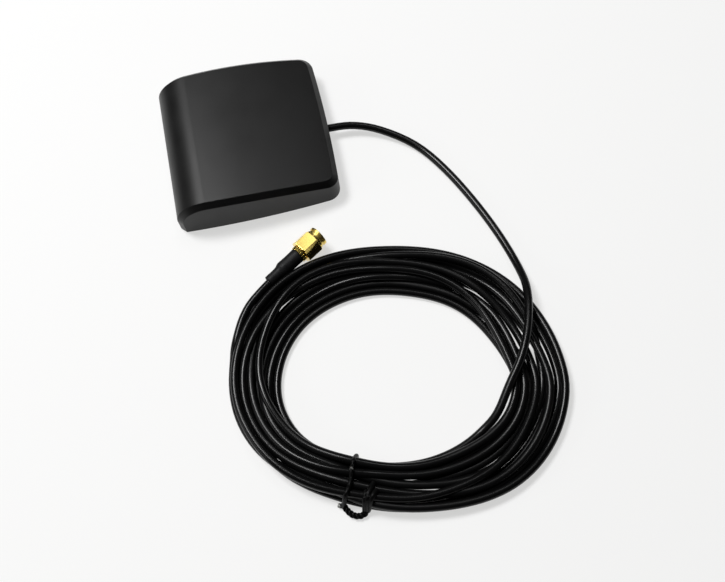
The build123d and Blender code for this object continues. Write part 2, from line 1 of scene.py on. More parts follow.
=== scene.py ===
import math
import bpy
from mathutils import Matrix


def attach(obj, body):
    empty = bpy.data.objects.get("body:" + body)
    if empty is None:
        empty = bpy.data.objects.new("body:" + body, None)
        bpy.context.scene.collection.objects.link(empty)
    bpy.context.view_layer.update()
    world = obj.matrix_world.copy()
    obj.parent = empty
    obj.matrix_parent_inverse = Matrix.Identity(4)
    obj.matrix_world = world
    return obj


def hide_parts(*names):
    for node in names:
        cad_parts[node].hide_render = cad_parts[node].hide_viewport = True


bl_info = {
    "name": "GPS Antenna Looks",
    "version": (1, 0, 0),
    "blender": (4, 5, 0),
    "location": "3D View > Sidebar > Antenna",
    "description": "Finishes a GPS antenna: moulded housing, coiled cable, wire tie and gold plug",
    "category": "Object",
}

import bmesh
import bpy
from mathutils import Matrix, Quaternion, Vector, noise
from mathutils.bvhtree import BVHTree

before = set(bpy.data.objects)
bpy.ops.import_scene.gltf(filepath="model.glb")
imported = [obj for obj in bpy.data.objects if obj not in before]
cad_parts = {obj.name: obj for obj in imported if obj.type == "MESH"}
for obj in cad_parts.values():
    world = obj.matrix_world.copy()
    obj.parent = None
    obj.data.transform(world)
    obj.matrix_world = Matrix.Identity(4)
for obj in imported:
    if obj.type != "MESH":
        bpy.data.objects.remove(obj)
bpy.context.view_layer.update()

TURN = 2 * math.pi

# Cable route in metres, the same points as in the part's source
LEAD_ROUTE = [
    (0.0220, -0.0008, 0.00425),
    (0.0322, -0.0008, 0.00425),
    (0.0400, -0.0017, 0.0039),
    (0.0488, -0.0054, 0.0030),
    (0.0602, -0.0140, 0.0015),
    (0.0678, -0.0264, 0.0014),
    (0.0744, -0.0416, 0.0014),
    (0.0798, -0.0576, 0.0014),
    (0.0828, -0.0728, 0.0027),
    (0.0824, -0.0825, 0.0073),
    (0.0788, -0.0952, 0.0082),
    (0.0738, -0.1050, 0.0079),
    (0.0674, -0.1125, 0.0062),
    (0.0617, -0.1206, 0.0042),
]
TAIL_ROUTE = [
    (-0.0175, -0.0773, 0.0042),
    (-0.0130, -0.0672, 0.0044),
    (-0.0071, -0.0609, 0.00465),
    (0.00402, -0.05314, 0.00465),
]

# Outer and inner outline of the coil, seen from above
COIL_MIDDLE = Vector((0.033, -0.098))
COIL_RIM = [
    (0.0871, -0.1100), (0.0836, -0.0838), (0.0664, -0.0630), (0.0430, -0.0533), (0.0226, -0.0518),
    (0.0147, -0.0504), (0.0090, -0.0508), (0.0038, -0.0543), (-0.0007, -0.0567), (-0.0078, -0.0602),
    (-0.0150, -0.0699), (-0.0221, -0.0900), (-0.0175, -0.1143), (-0.0027, -0.1303), (0.0155, -0.1410),
    (0.0380, -0.1459), (0.0632, -0.1442), (0.0820, -0.1276),
]
COIL_EYE = [
    (0.0672, -0.1092), (0.0664, -0.1009), (0.0626, -0.0908), (0.0522, -0.0781), (0.0388, -0.0710),
    (0.0231, -0.0693), (0.0065, -0.0756), (-0.0001, -0.0826), (-0.0044, -0.0919), (-0.0053, -0.0993),
    (-0.0015, -0.1116), (0.0123, -0.1228), (0.0259, -0.1276), (0.0398, -0.1282), (0.0547, -0.1230),
]

# Axis of the plug, from the back of its hexagon, and distances along it
PLUG_BACK = Vector((0.0108, -0.0487, 0.00465))
PLUG_ANGLE = math.radians(33.2)
PLUG_AXIS = Vector((math.cos(PLUG_ANGLE), math.sin(PLUG_ANGLE), 0))
COLLAR_START = 0.0069

# What the cable's turns keep clear of on the plug's axis: from, to, radius
PLUG_STRETCHES = [
    (-0.0160, -0.0105, 0.0022),
    (-0.0105, -0.0014, 0.0028),
    (-0.0018, 0.0070, 0.0047),
    (0.0070, 0.0100, 0.0039),
]

# Profiles round the plug's axis: distance from the hexagon's back, radius
SLEEVE_PROFILE = [
    (-0.00150, 0.00243), (-0.00150, 0.00262), (-0.00158, 0.00272), (-0.00190, 0.00275), (-0.00330, 0.00274),
    (-0.00520, 0.00272), (-0.00700, 0.00273), (-0.00850, 0.00274), (-0.00915, 0.00268), (-0.00960, 0.00252),
    (-0.01000, 0.00233), (-0.01050, 0.00218), (-0.01120, 0.00209), (-0.01250, 0.00206), (-0.01400, 0.00207),
    (-0.01510, 0.00206), (-0.01535, 0.00201), (-0.01545, 0.00190), (-0.01545, 0.00141),
]
SLEEVE_LIPS = (-0.0152, -0.0016)
LONGEST_STRETCH = 0.00049
THREAD_PROFILE = [
    (0.00488, 0.00307), (0.00515, 0.00286), (0.00525, 0.00286), (0.00552, 0.00307), (0.00488, 0.00307),
]
THREAD_PITCH = 0.0007
THREAD_TURNS = 4.2

# The coil's turns in steps round its middle. A place on it is an angle and half a width in degrees: where
# the tie squeezes the turns, where its lower wire lifts them, and where they lie outside the lead's end
STATIONS = 36
STEP = TURN / STATIONS
WHOLE_TURNS = 10
AT_TIE = (-124, 16)
LIFTED = (-124, 20)
OVER_LEAD = (-36, 26)

# Room in metres: where the bundle is narrower, where the lead lies in it, and at the tie
WAISTS = [(72, 34, 0.0036), (-36, 18, 0.0034), (175, 40, 0.001)]
LEAD_ROOM = 0.0046
SQUEEZE = 0.0010
TIE_LIFT = 0.0016
TIE_RISE = 0.0008
COIL_TOP = 0.0056
# The last turn comes down to the tail over some stations
END_FALL = 0.0014
END_STATIONS = 14
END_FALL_STATIONS = 10
# The lead's points over the coil, and the stations that join the lead and the tail and so may touch them
LEAD_OVER = 8
LEAD_STATIONS = 5
TAIL_STATIONS = 8
# A bundle this narrow leaves the turns no freedom, and they are free when it is wider by so much
NARROW = 0.0155
LOOSENING = 0.006
LEAST_FREE = 0.2
# How the turns are laid: the step in which a turn rolls aside, as a share of its diameter, what
# rolling and leaving its room cost against height, how often it is smoothed and how far it sags
ROLL_STEP = 0.1
ROLL_COST = 0.5
OUTSIDE_COST = 9
SMOOTHINGS = 9
BRIDGINGS = 40
SAG = 0.03
# How they are pushed apart: sweeps in all, sweeps in which they are stiff, and how stiff
SWEEPS = 110
STIFF_SWEEPS = 70
STIFFNESS = 0.3
# The upper turns lie a little to one side
LEAN = 0.12
LEAN_ANGLE = math.radians(150)

# Turns from the cable's start, and the share of the bundle's width at which it runs there. The last
# crossing is counted from its end
LANES = [(0.0, 0.0), (4.6, 1.0), (5.5, 0.25), (7.2, 0.85), (8.0, 0.30)]
LAST_CROSSING = 0.9
# How the turns wander: pace, start and share of three waves
WANDER = [(0.247, 1.1, 1.0), (0.141, 4.0, 0.8), (0.55, 0.0, 0.4)]

# The wire tie. A laid place is x, y, lift above the coil and thickness, a free one x, y, z and thickness
TIE_THICK = 1.45
# Shares of the wire's diameter: the rope's radius, and the pale steel spots, which are the bare wire at the
# loop's end and a painted highlight on top
ROPE_RADIUS = 0.58
PALE_SPOT_WIRE = 0.6
# Thickness of the pale steel spots: the bare wire at the loop's end, and on top a painted highlight where
# the wire bends; and where their points lie along the wire
END_AND_HIGHLIGHT_SIZES = (2.6, 1.95)
PALE_SPOT_PLACES = (-0.0005, 0.0001, 0.0005)
TIE_OVER = [
    (0.0135, -0.1255, 0.0, 1.6), (0.0130, -0.1267, 0.0, 1.15), (0.01245, -0.1281, 0.0002, 1.65),
    (0.0119, -0.1303, 0.0, TIE_THICK), (0.0109, -0.1326, 0.0, TIE_THICK), (0.0098, -0.1345, 0.0, TIE_THICK),
    (0.0087, -0.1359, 0.0, TIE_THICK),
]
TIE_AROUND = [
    (0.0076, -0.1371, 0.0014, TIE_THICK), (0.0084, -0.1356, 0.0008, TIE_THICK),
    (0.0106, -0.1312, 0.0008, TIE_THICK), (0.0126, -0.1272, 0.0008, TIE_THICK),
    (0.0144, -0.1238, 0.0008, TIE_THICK), (0.0148, -0.1229, 0.0021, TIE_THICK),
    (0.0146, -0.1233, 0.0037, TIE_THICK), (0.0141, -0.1241, 0.0050, TIE_THICK),
]
TIE_DOWN = [
    (0.0077, -0.1373, 0.0030, TIE_THICK), (0.0071, -0.1376, 0.0014, TIE_THICK),
    (0.0063, -0.1371, 0.0010, TIE_THICK),
]
TIE_ROPE = [
    (0.0070, -0.1366, 0.0014), (0.0077, -0.1379, 0.0012), (0.0084, -0.1394, 0.0012),
    (0.0097, -0.1410, 0.0012), (0.0115, -0.1417, 0.0012), (0.0132, -0.1415, 0.0012),
    (0.0143, -0.1405, 0.0013), (0.0146, -0.1396, 0.0022),
]
# Each arm's free places, then its laid ones
TIE_ARMS = [
    (
        [(0.0139, -0.1407, 0.0016, TIE_THICK), (0.0143, -0.1403, 0.0032, TIE_THICK)],
        [(0.0152, -0.1382, 0, 1.8), (0.0164, -0.1361, 0, 1.9), (0.0175, -0.1346, 0, 1.9),
         (0.0184, -0.1334, 0, TIE_THICK)],
    ),
    (
        [(0.0147, -0.1407, 0.0014, TIE_THICK), (0.0153, -0.1403, 0.0032, TIE_THICK)],
        [(0.0164, -0.1386, 0, 1.9), (0.0178, -0.1370, 0, 1.9), (0.0187, -0.1361, 0, TIE_THICK)],
    ),
    (
        [(0.0133, -0.1407, 0.0014, 1.3), (0.0135, -0.1404, 0.0030, 1.3)],
        [(0.0141, -0.1386, 0, 1.3), (0.0147, -0.1370, 0, 1.3), (0.0154, -0.1356, -0.0005, 1.3)],
    ),
]

# The photograph's camera
CAMERA_PLACE = (0.02233, -0.1994, 0.30055)
CAMERA_RIGHT = (0.9752, -0.2091, -0.0722)
CAMERA_UP = (0.2204, 0.8901, 0.3989)
CAMERA_LENS = 47.17

# Lamps: place, target, size, share of the key light's power
LAMPS = {
    "window": ((-0.30, 0.30, 0.95), (0.02, -0.06, 0), (0.34, 0.30), 1.0),
    "far_window": ((0.27, 0.40, 0.93), (0.02, -0.06, 0), (0.12, 0.30), 0.07),
    "side": ((-0.80, -0.10, 0.35), (0.02, -0.06, 0), (0.4, 0.3), 0.08),
    "card": ((0.055, 0.40, 0.90), (0.014, -0.047, 0.008), (0.16, 0.16), 0.0118),
}
# The studio's brightest side, and how bright it is opposite and there
SKY_SIDE = (-0.32, 0.44, 0.84)
SKY_DARK = 0.014
SKY_BRIGHT = 0.14
# The share of the paper that shines by itself to the camera, so that it stays white
PAPER_GLOW = 0.6


def number(name, text, default, unit="NONE"):
    """A setting that the sidebar shows."""
    return bpy.props.FloatProperty(
        name=name, description=text, default=default, unit=unit, precision=4
    )


def colour(name, text, default):
    """A colour setting that the sidebar shows."""
    return bpy.props.FloatVectorProperty(
        name=name, description=text, default=default, subtype="COLOR", size=3, min=0.0, max=1.0
    )


class CableSettings(bpy.types.PropertyGroup):
    length: number("Length", "Cable length from the housing to the plug", 3.0, "LENGTH")
    diameter: number("Diameter", "Outer diameter of the cable", 0.0028, "LENGTH")
    looseness: number("Looseness", "How far the turns wander where nothing ties them", 0.0009, "LENGTH")
    jacket: colour("Jacket", "Colour of the cable's jacket", (0.0025, 0.0025, 0.0026))


class HousingSettings(bpy.types.PropertyGroup):
    plastic: colour("Plastic", "Colour of the moulded housing", (0.003, 0.003, 0.003))
    grain: number("Grain", "Size of the moulded grain", 0.00035, "LENGTH")
    edge: number("Edge softness", "Radius that the moulded edges shine with", 0.0003, "LENGTH")


class PlugSettings(bpy.types.PropertyGroup):
    gold: colour("Gold", "Colour of the plating", (0.93, 0.71, 0.20))
    sleeve: colour("Sleeve", "Colour of the shrunk sleeve", (0.006, 0.006, 0.0064))


class TieSettings(bpy.types.PropertyGroup):
    wire: number("Wire", "Diameter of one coated wire", 0.0010, "LENGTH")
    pitch: number("Pitch", "Length of one full twist", 0.0040, "LENGTH")
    coating: colour("Coating", "Colour of the wire's coating", (0.003, 0.003, 0.003))


class StageSettings(bpy.types.PropertyGroup):
    floor: colour("Floor", "Colour of the floor", (0.90, 0.90, 0.905))
    key: number("Key light", "Strength of the large light", 10.0, "POWER")


# Materials


class Finish:
    """A material's nodes, added one after another."""

    def __init__(self, name, base, roughness, metallic=0.0, specular=0.5):
        self.material = bpy.data.materials.new(name)
        self.material.use_nodes = True
        self.tree = self.material.node_tree
        self.shader = self.tree.nodes["Principled BSDF"]
        self.shader.inputs["Base Color"].default_value = (*base, 1)
        self.shader.inputs["Roughness"].default_value = roughness
        self.shader.inputs["Metallic"].default_value = metallic
        self.shader.inputs["Specular IOR Level"].default_value = specular
        self.base = base
        self.place = self.node("ShaderNodeTexCoord").outputs["Object"]
        self.normal = None

    def node(self, kind, **values):
        """A new node, with its properties and its sockets' own values."""
        made = self.tree.nodes.new(kind)
        for key, value in values.items():
            if hasattr(made, key):
                setattr(made, key, value)
            else:
                made.inputs[key].default_value = value
        return made

    def link(self, out, into):
        """Joins two sockets."""
        self.tree.links.new(out, into)
        return self

    def stretched(self, turn=(0, 0, 0), size=(1, 1, 1)):
        """The place on the piece, turned and stretched."""
        mapping = self.node("ShaderNodeMapping", Rotation=turn, Scale=size)
        self.link(self.place, mapping.inputs["Vector"])
        return mapping.outputs["Vector"]

    def speckle(self, size, detail=2.0, where=None):
        """Noise whose spots have about this size."""
        spots = self.node("ShaderNodeTexNoise", Scale=1 / size, Detail=detail)
        self.link(where or self.place, spots.inputs["Vector"])
        return spots.outputs["Fac"]

    def ramp(self, value, low, high, from_min=0.35, from_max=0.65):
        """A value spread over another range."""
        spread = self.node("ShaderNodeMapRange")
        ends = {"From Min": from_min, "From Max": from_max, "To Min": low, "To Max": high}
        for name, end in ends.items():
            spread.inputs[name].default_value = end
        self.link(value, spread.inputs["Value"])
        return spread.outputs["Result"]

    def tone(self, value, dark, light):
        """Varies the colour between a darker and a lighter share of the base."""
        mix = self.node("ShaderNodeMix", data_type="RGBA")
        mix.inputs["A"].default_value = (*(min(1, c * dark) for c in self.base), 1)
        mix.inputs["B"].default_value = (*(min(1, c * light) for c in self.base), 1)
        self.link(value, mix.inputs["Factor"])
        self.link(mix.outputs["Result"], self.shader.inputs["Base Color"])
        return self

    def gloss(self, value, low, high):
        """Varies the roughness."""
        return self.link(self.ramp(value, low, high), self.shader.inputs["Roughness"])

    def relief(self, value, depth, strength=1.0):
        """Adds bump of this depth in metres."""
        bump = self.node("ShaderNodeBump", Strength=strength, Distance=depth)
        self.link(value, bump.inputs["Height"])
        if self.normal is not None:
            self.link(self.normal, bump.inputs["Normal"])
        self.normal = bump.outputs["Normal"]
        return self.link(self.normal, self.shader.inputs["Normal"])

    def soft_edges(self, radius):
        """Makes the edges shine as if they were rounded."""
        edge = self.node("ShaderNodeBevel", samples=6, Radius=radius)
        self.normal = edge.outputs["Normal"]
        return self.link(self.normal, self.shader.inputs["Normal"])


def moulded_plastic(settings):
    """Matt black plastic with a fine eroded grain and faint rubbed places."""
    f = Finish("moulded_plastic", settings.plastic, 0.38, specular=0.27)
    f.soft_edges(settings.edge)
    grain = f.speckle(settings.grain, detail=3.0)
    rubbed = f.speckle(size=0.012, detail=3.0)
    f.tone(rubbed, dark=0.85, light=1.2)
    f.gloss(rubbed, low=0.36, high=0.42)
    f.relief(grain, depth=0.00004, strength=0.4)
    return f.material


def cable_jacket(settings):
    """Smooth extruded plastic with a satin gloss and a faint unevenness."""
    f = Finish("cable_jacket", settings.jacket, 0.22, specular=0.2)
    along = f.node("ShaderNodeMapping", Scale=(45, 0, 0))
    f.link(f.node("ShaderNodeTexCoord").outputs["UV"], along.inputs["Vector"])
    stretch = f.speckle(size=1.0, where=along.outputs["Vector"])
    uneven = f.speckle(size=0.004)
    f.tone(uneven, dark=0.8, light=1.3)
    f.gloss(stretch, low=0.13, high=0.34)
    f.relief(f.speckle(size=0.0006), depth=0.000004, strength=0.3)
    return f.material


def plated_gold(settings):
    """Gold plating over turned brass, with fine tool marks and a duller collar."""
    f = Finish("plated_gold", settings.gold, 0.12, 1.0)
    f.soft_edges(radius=0.00012)
    marks = f.speckle(size=0.00012, where=f.stretched(turn=(0, 0, -PLUG_ANGLE), size=(6, 1, 1)))
    cloud = f.speckle(size=0.0015)
    f.tone(cloud, dark=0.93, light=1.05)
    along = f.node("ShaderNodeVectorMath", operation="DOT_PRODUCT")
    along.inputs[1].default_value = PLUG_AXIS
    f.link(f.place, along.inputs[0])
    collar = PLUG_BACK.dot(PLUG_AXIS) + COLLAR_START
    dulled = f.node("ShaderNodeMath", operation="ADD")
    duller = f.ramp(along.outputs["Value"], low=0, high=0.18, from_min=collar, from_max=collar + 0.0002)
    f.link(duller, dulled.inputs[0])
    f.link(f.ramp(cloud, low=0.09, high=0.15), dulled.inputs[1])
    f.link(dulled.outputs["Value"], f.shader.inputs["Roughness"])
    f.relief(marks, depth=0.000001, strength=0.25)
    return f.material


def sleeve_finish(settings):
    """Shrunk tubing: matt, faintly ribbed along by its stretching, with a dull bloom."""
    f = Finish("shrunk_tubing", settings.sleeve, 0.5, specular=0.18)
    ribs = f.stretched(turn=(0, 0, -PLUG_ANGLE), size=(0.12, 1, 1))
    lengthwise = f.speckle(size=0.0003, detail=3.0, where=ribs)
    bloom = f.speckle(size=0.0014, detail=3.0)
    f.tone(bloom, dark=0.7, light=1.5)
    f.gloss(bloom, low=0.44, high=0.56)
    f.relief(lengthwise, depth=0.00002, strength=0.5)
    return f.material


def tie_finish(settings):
    """Coated wire: glossy black, scuffed pale where it was bent and twisted."""
    f = Finish("tie_coating", settings.coating, 0.36, specular=0.08)
    scuffs = f.speckle(size=0.0006, detail=4.0)
    f.tone(f.ramp(scuffs, low=0, high=1, from_min=0.64, from_max=0.76), dark=0.8, light=30)
    f.gloss(scuffs, low=0.26, high=0.5)
    f.relief(f.speckle(size=0.00025), depth=0.00001, strength=0.4)
    return f.material


def board_finish():
    """Green lacquer over copper, with fine lines and rows of tinned holes."""
    f = Finish("board_green", (0.015, 0.11, 0.05), 0.35)
    lines = f.node("ShaderNodeTexBrick", offset=0.5, Scale=420.0)
    lines.inputs["Mortar Size"].default_value = 0.035
    lines.inputs["Brick Width"].default_value = 1.6
    f.link(f.place, lines.inputs["Vector"])
    holes = f.node("ShaderNodeTexVoronoi", Scale=330.0, Randomness=0.35)
    f.link(f.place, holes.inputs["Vector"])
    hole = f.ramp(holes.outputs["Distance"], low=1, high=0, from_min=0.10, from_max=0.14)
    paint = f.node("ShaderNodeMix", data_type="RGBA")
    paint.inputs["A"].default_value = (0.012, 0.085, 0.04, 1)
    paint.inputs["B"].default_value = (0.05, 0.20, 0.07, 1)
    f.link(lines.outputs["Fac"], paint.inputs["Factor"])
    ring = f.node("ShaderNodeMix", data_type="RGBA")
    ring.inputs["B"].default_value = (0.62, 0.60, 0.56, 1)
    f.link(hole, ring.inputs["Factor"]).link(paint.outputs["Result"], ring.inputs["A"])
    f.link(ring.outputs["Result"], f.shader.inputs["Base Color"])
    f.link(hole, f.shader.inputs["Metallic"])
    f.gloss(f.speckle(size=0.002), low=0.28, high=0.42)
    f.relief(lines.outputs["Fac"], depth=0.00003, strength=0.5)
    f.relief(holes.outputs["Distance"], depth=0.00004, strength=0.4)
    return f.material


def braid_finish():
    """Tinned copper wires that cross each other along the cable, with painted shade in the grooves between
    them.
    """
    f = Finish("tinned_braid", (0.70, 0.68, 0.64), 0.36, 1.0)
    for turn in (0.9, -0.9):
        wires = f.node("ShaderNodeTexWave", bands_direction="Y", Scale=700.0, Distortion=0.4)
        f.link(f.stretched(turn=(0, 0, turn)), wires.inputs["Vector"])
        f.relief(wires.outputs["Fac"], depth=0.00006, strength=0.6)
    # The colour follows the relief and darkens in the grooves between the wires: painted shade
    f.tone(wires.outputs["Fac"], dark=0.45, light=1.08)
    return f.material


def simple_finish(
    name, base, roughness, metallic=0.0, spots=0.0008, depth=0.00001, spread=0.12, edge=0.0
):
    """A plain technical finish: slight mottling in colour and gloss, and a fine relief."""
    f = Finish(name, base, roughness, metallic)
    if edge:
        f.soft_edges(edge)
    fine = f.speckle(spots, detail=3.0)
    cloud = f.speckle(spots * 8)
    f.tone(cloud, 1 - spread, 1 + spread)
    f.gloss(cloud, roughness * 0.88, min(1.0, roughness * 1.12))
    f.relief(fine, depth, strength=0.5)
    return f.material


def dress(node, material):
    """Gives a CAD node its finish."""
    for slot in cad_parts[node].material_slots:
        slot.material = material


def keep(piece, body, slot_name, material, *nodes):
    """Hands a new piece over: its finish, the body it rides on and the CAD nodes that it stands for."""
    piece.data.materials.clear()
    piece.data.materials.append(material)
    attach(piece, body)
    if nodes:
        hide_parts(*nodes)
    return piece


def link_new(name, data):
    """A new object in the scene."""
    made = bpy.data.objects.new(name, data)
    bpy.context.scene.collection.objects.link(made)
    return made


def wire(name, routes, diameter, resolution=6, ring=4):
    """Round wires on smooth lines that follow their control points; a fourth number thickens a place."""
    curve = bpy.data.curves.new(name, "CURVE")
    curve.dimensions = "3D"
    curve.resolution_u = resolution
    curve.bevel_depth = diameter / 2
    curve.bevel_resolution = ring
    curve.use_fill_caps = True
    for route in routes:
        spline = curve.splines.new("NURBS")
        spline.points.add(len(route) - 1)
        for point, place in zip(spline.points, route):
            point.co = (*place[:3], 1)
            point.radius = place[3] if len(place) > 3 else 1.0
        spline.order_u = 3
        spline.use_endpoint_u = True
    return link_new(name, curve)


def spots_along(route, step):
    """Points at even steps on the smooth line of a route."""
    guide = wire("guide", [route], 0.0, resolution=24)
    bpy.context.view_layer.update()
    mesh = bpy.data.meshes.new_from_object(guide.evaluated_get(bpy.context.evaluated_depsgraph_get()))
    line = [vertex.co.copy() for vertex in mesh.vertices]
    curve = guide.data
    bpy.data.objects.remove(guide)
    bpy.data.curves.remove(curve)
    bpy.data.meshes.remove(mesh)
    spots, carried = [line[0]], 0.0
    for a, b in zip(line, line[1:]):
        run = (b - a).length
        while carried + run >= step:
            a = a.lerp(b, (step - carried) / run)
            run = (b - a).length
            carried = 0.0
            spots.append(a.copy())
        carried += run
    return spots


def twisted(route, radius, pitch, strands, step=0.0003):
    """Routes of strands that twist round the smooth line of a route."""
    spots = spots_along(route, step)
    routes = [[] for _ in range(strands)]
    side = None
    for n, spot in enumerate(spots):
        ahead = (spots[min(n + 1, len(spots) - 1)] - spots[max(n - 1, 0)]).normalized()
        side = ahead.orthogonal() if side is None else side - ahead * side.dot(ahead)
        side.normalize()
        for k, strand in enumerate(routes):
            turn = Quaternion(ahead, TURN * (n * step / pitch + k / strands))
            strand.append(spot + radius * (turn @ side))
    return routes


def turned(profile, steps, rise=0.0, turns=1.0):
    """A body turned round the x axis from a profile of distances and radii, or a thread if it rises.

    It is built ring by ring, because bmesh.ops.spin numbers the vertices differently in each run.
    """
    shell = bmesh.new()
    count = round(steps * turns)
    closed = profile[0] == profile[-1]
    rings = []
    for k in range(count + bool(rise)):
        angle = TURN * turns * k / count
        ahead = rise * k / steps
        ring = [
            shell.verts.new((distance + ahead, -radius * math.sin(angle), radius * math.cos(angle)))
            for distance, radius in profile[:len(profile) - closed]
        ]
        rings.append(ring + ring[:closed])
    if not rise:
        rings.append(rings[0])
    for ring, following in zip(rings, rings[1:]):
        for n in range(len(ring) - 1):
            face = shell.faces.new((ring[n], ring[n + 1], following[n + 1], following[n]))
            face.smooth = True
    bmesh.ops.recalc_face_normals(shell, faces=shell.faces)
    return shell


def refined(profile, longest):
    """The profile with each stretch that is longer along the axis cut in three."""
    points = []
    for start, end in zip(profile, profile[1:]):
        cuts = 3 if abs(end[0] - start[0]) > longest else 1
        points += [Vector(start).lerp(Vector(end), n / cuts) for n in range(cuts)]
    return [*points, profile[-1]]


def onto_plug(name, shell):
    """Puts a turned body in its place on the plug's axis."""
    mesh = bpy.data.meshes.new(name)
    place = Matrix.Translation(PLUG_BACK) @ Matrix.Rotation(PLUG_ANGLE, 4, "Z")
    bmesh.ops.transform(shell, matrix=place, verts=shell.verts)
    shell.to_mesh(mesh)
    shell.free()
    return link_new(name, mesh)


# Cable


def half_turn(angle):
    """The same angle between minus and plus half a turn."""
    return (angle + math.pi) % TURN - math.pi


def ring_radius(ring, angle):
    """Distance from the coil's middle to an outline at an angle, smooth through the outline's points."""
    polar = []
    for point in ring:
        x, y = point[0] - COIL_MIDDLE.x, point[1] - COIL_MIDDLE.y
        polar.append((math.atan2(y, x) % TURN, math.hypot(x, y)))
    polar.sort()
    angle %= TURN
    after = next((i for i, (a, _) in enumerate(polar) if a > angle), len(polar))
    near = []
    for i in range(after - 2, after + 2):
        a, r = polar[i % len(polar)]
        near.append((a + TURN * (i // len(polar)), r))
    (a0, r0), (a1, r1), (a2, r2), (a3, r3) = near
    span = a2 - a1
    t = (angle - a1) / span
    slope1 = (r2 - r0) / (a2 - a0) * span
    slope2 = (r3 - r1) / (a3 - a1) * span
    return (
        (2 * t**3 - 3 * t**2 + 1) * r1
        + (t**3 - 2 * t**2 + t) * slope1
        + (3 * t**2 - 2 * t**3) * r2
        + (t**3 - t**2) * slope2
    )


def bell(angle, middle, half_width):
    """1 at an angle given in degrees, and 0 beyond half a width from it."""
    away = abs((math.degrees(angle) - middle + 180) % 360 - 180) / half_width
    return 0.5 + 0.5 * math.cos(math.pi * away) if away < 1 else 0.0


def plug_point(distance):
    """A point on the plug's axis, this far in front of the back of its hexagon."""
    return PLUG_BACK + distance * PLUG_AXIS


def obstacles(angle, diameter, lead, tail):
    """What the turns keep clear of at an angle: the lead above them, the tail, the sleeve and the plug."""
    routes = [(lead, diameter / 2, True), (tail, diameter / 2, False)]
    for back, front, radius in PLUG_STRETCHES:
        routes.append(((plug_point(back), plug_point(front)), radius, False))
    found = []
    for route, thickness, above in routes:
        for one, other in zip(route, route[1:]):
            a, b = Vector(one[:2]) - COIL_MIDDLE, Vector(other[:2]) - COIL_MIDDLE
            first = math.atan2(a.y, a.x)
            span = half_turn(math.atan2(b.y, b.x) - first)
            share = half_turn(angle - first) / span
            if 0 <= share < 1:
                reach = a.length + share * (b.length - a.length)
                height = one[2] + share * (other[2] - one[2])
                found.append((reach - ring_radius(COIL_EYE, angle), height, thickness + diameter / 2, above))
    return found


def turn_lane(turn, turns):
    """The share of the bundle's width at which the cable runs: out, back over itself, and out again."""
    stops = [*LANES, (turns - LAST_CROSSING, 1.0), (turns, 1.0)]
    for (a, low), (b, high) in zip(stops, stops[1:]):
        if turn <= b:
            t = (turn - a) / (b - a)
            return low + (high - low) * t * t * (3 - 2 * t)
    return 1.0


def push_apart(one, other, distance, share):
    """Moves a strand of a cross-section away from another that is too near, or both by half."""
    across = one[0] - other[0]
    up = one[1] - other[1]
    gap = math.hypot(across, up) or 1e-9
    if gap < distance:
        move = share * (distance - gap) / gap
        one[0] += across * move
        one[1] += up * move
        if share < 1:
            other[0] -= across * move
            other[1] -= up * move


def rest_height(strands, n, across, diameter, floor):
    """How high the cable lies at a place on the turns before it."""
    height = floor
    for m in range(n % STATIONS, n, STATIONS):
        aside = abs(across - strands[m][0])
        if aside < diameter:
            height = max(height, strands[m][1] + math.sqrt(diameter**2 - aside**2))
    return height


def valley(strands, n, room, blocks, diameter, floor):
    """How far aside the cable rolls from its place to lie lower."""
    best = (math.inf, 0.0)
    for k in range(-10, 11):
        aside = ROLL_STEP * k * diameter
        across = strands[n][0] + aside
        height = rest_height(strands, n, across, diameter, floor)
        outside = max(0, room[0] - across, across - room[1], height - room[2])
        cost = height + ROLL_COST * abs(aside) + OUTSIDE_COST * outside
        for place, level, distance, above in blocks:
            if math.hypot(across - place, height - level) < distance or (above and height > level):
                cost += diameter
        best = min(best, (cost, aside))
    return best[1]


def lay(strands, rooms, floors, blocks, diameter):
    """Lays each turn on the floor and on the turns before it, stiff enough to bridge the dips."""
    for start in range(0, len(strands), STATIONS):
        turn = range(start, min(start + STATIONS, len(strands)))
        aside = {n: valley(strands, n, rooms[n], blocks[n], diameter, floors[n]) for n in turn}
        for _ in range(SMOOTHINGS):
            beside = {n: (aside[max(n - 1, start)], aside[min(n + 1, turn[-1])]) for n in turn}
            aside = {n: (beside[n][0] + 2 * aside[n] + beside[n][1]) / 4 for n in turn}
        needed = {}
        for n in turn:
            strands[n][0] += aside[n]
            needed[n] = rest_height(strands, n, strands[n][0], diameter, floors[n])
            strands[n][1] = needed[n]
        for _ in range(BRIDGINGS):
            for n in turn:
                before, after = strands[max(n - 1, 0)][1], strands[min(n + 1, turn[-1])][1]
                strands[n][1] = max(needed[n], (before + after) / 2 - SAG * diameter)


def settle(strands, rooms, floors, blocks, diameter):
    """Straightens the turns a little and pushes them apart until they only touch."""
    planned = [strand[0] for strand in strands]
    for sweep in range(SWEEPS):
        if sweep < STIFF_SWEEPS:
            for n in range(1, len(strands) - 1):
                aside = [strands[m][0] - planned[m] for m in (n - 1, n, n + 1)]
                strands[n][0] += STIFFNESS * ((aside[0] + aside[2]) / 2 - aside[1])
                strands[n][1] += STIFFNESS * ((strands[n - 1][1] + strands[n + 1][1]) / 2 - strands[n][1])
                strands[n][1] -= SAG * diameter
        for station in range(STATIONS):
            members = range(station, len(strands), STATIONS)
            for n in members:
                for m in members:
                    if m > n:
                        push_apart(strands[n], strands[m], diameter, 0.5)
                for across, height, distance, above in blocks[n]:
                    aside = abs(strands[n][0] - across)
                    if above and aside < distance:
                        strands[n][1] = min(strands[n][1], height - math.sqrt(distance**2 - aside**2))
                    else:
                        push_apart(strands[n], (across, height), distance, 1.0)
                low, high, top = rooms[n]
                strands[n][0] = min(max(strands[n][0], low), high)
                strands[n][1] = min(max(strands[n][1], floors[n]), top)


